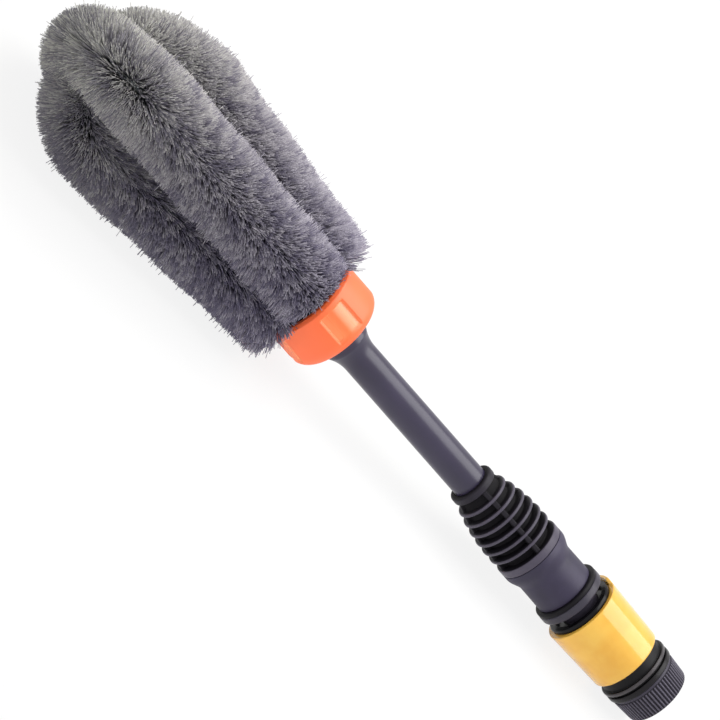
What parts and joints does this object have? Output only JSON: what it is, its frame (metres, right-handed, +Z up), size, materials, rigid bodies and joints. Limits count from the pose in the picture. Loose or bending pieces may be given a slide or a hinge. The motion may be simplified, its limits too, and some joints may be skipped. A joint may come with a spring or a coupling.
{
  "type": "wheel brush",
  "caption": "Flow-through wheel brush: crossed loops of bristles on a hollow handle with a ribbed grip, a screw-on collar and a quick-release hose connector.",
  "frame": {"origin": "centre of the hose inlet at the rear face of the hose nut, on the handle's axis", "axes": "+X out of the hose inlet along the handle's axis, so the brush head points along -X; +Z up, midway between two of the four bristle arms"},
  "size_m": [0.4154, 0.0764, 0.0764],
  "materials": {
    "black_plastic": "satin moulded",
    "charcoal_plastic": "satin moulded",
    "yellow_plastic": "glossy moulded",
    "orange_plastic": "glossy moulded",
    "rubber": "matte moulded",
    "steel": "drawn wire",
    "bristles": "cut filament"
  },
  "bodies": {
    "handle": {"stem_tube": "charcoal_plastic", "handle_barrel": "charcoal_plastic", "ribbed_grip": "rubber", "hose_adaptor": "black_plastic", "adaptor_o_ring": "rubber", "adaptor_washer": "rubber", "head_gasket": "rubber", "wire_hub": "black_plastic", "wire_outer_loop": "steel", "wire_inner_loop": "steel", "bristle_outer_loop": "bristles", "bristle_inner_loop": "bristles"},
    "collar_ring": {"collar_slip_washer": "steel"},
    "collar": {"collar_nut": "orange_plastic"},
    "connector": {"connector_body": "black_plastic", "connector_tail": "black_plastic", "sleeve_spring": "steel"},
    "sleeve": {"release_sleeve": "yellow_plastic"},
    "claw_top": {"claw_1": "black_plastic"},
    "claw_left": {"claw_2": "black_plastic"},
    "claw_bottom": {"claw_3": "black_plastic"},
    "claw_right": {"claw_4": "black_plastic"},
    "collet": {"hose_collet": "black_plastic"},
    "nut": {"hose_nut": "black_plastic"}
  },
  "joints": [
    {"name": "collar_travel", "type": "slide", "parent": "handle", "child": "collar_ring", "axis": [1, 0, 0], "range_m": [0, 0.0061]},
    {"name": "collar_turn", "type": "hinge", "parent": "collar_ring", "child": "collar", "pos_m": [-0.234, 0, 0], "axis": [1, 0, 0], "range_deg": [0, 720]},
    {"name": "connector_swivel", "type": "hinge", "parent": "handle", "child": "connector", "pos_m": [-0.045, 0, 0], "axis": [1, 0, 0], "continuous": true},
    {"name": "sleeve_slide", "type": "slide", "parent": "connector", "child": "sleeve", "axis": [1, 0, 0], "range_m": [0, 0.0045], "stiffness_N_per_m": 800, "springref_m": -0.012, "deforming": ["sleeve_spring"]},
    {"name": "claw_top_lift", "type": "slide", "parent": "connector", "child": "claw_top", "axis": [0, 0, 1], "range_m": [0, 0.0014]},
    {"name": "claw_left_lift", "type": "slide", "parent": "connector", "child": "claw_left", "axis": [0, 1, 0], "range_m": [0, 0.0014]},
    {"name": "claw_bottom_lift", "type": "slide", "parent": "connector", "child": "claw_bottom", "axis": [0, 0, -1], "range_m": [0, 0.0014]},
    {"name": "claw_right_lift", "type": "slide", "parent": "connector", "child": "claw_right", "axis": [0, -1, 0], "range_m": [0, 0.0014]},
    {"name": "nut_travel", "type": "slide", "parent": "connector", "child": "collet", "axis": [1, 0, 0], "range_m": [0, 0.0051]},
    {"name": "nut_turn", "type": "hinge", "parent": "collet", "child": "nut", "pos_m": [-0.006, 0, 0], "axis": [1, 0, 0], "range_deg": [0, 720]}
  ],
  "couplings": [
    {"joint": "collar_travel", "follows": "collar_turn", "m_per_rad": 0.00047746},
    {"joint": "nut_travel", "follows": "nut_turn", "m_per_rad": 0.00039789},
    {"joint": "claw_top_lift", "follows": "sleeve_slide", "ratio": 0.3},
    {"joint": "claw_left_lift", "follows": "sleeve_slide", "ratio": 0.3},
    {"joint": "claw_bottom_lift", "follows": "sleeve_slide", "ratio": 0.3},
    {"joint": "claw_right_lift", "follows": "sleeve_slide", "ratio": 0.3}
  ]
}
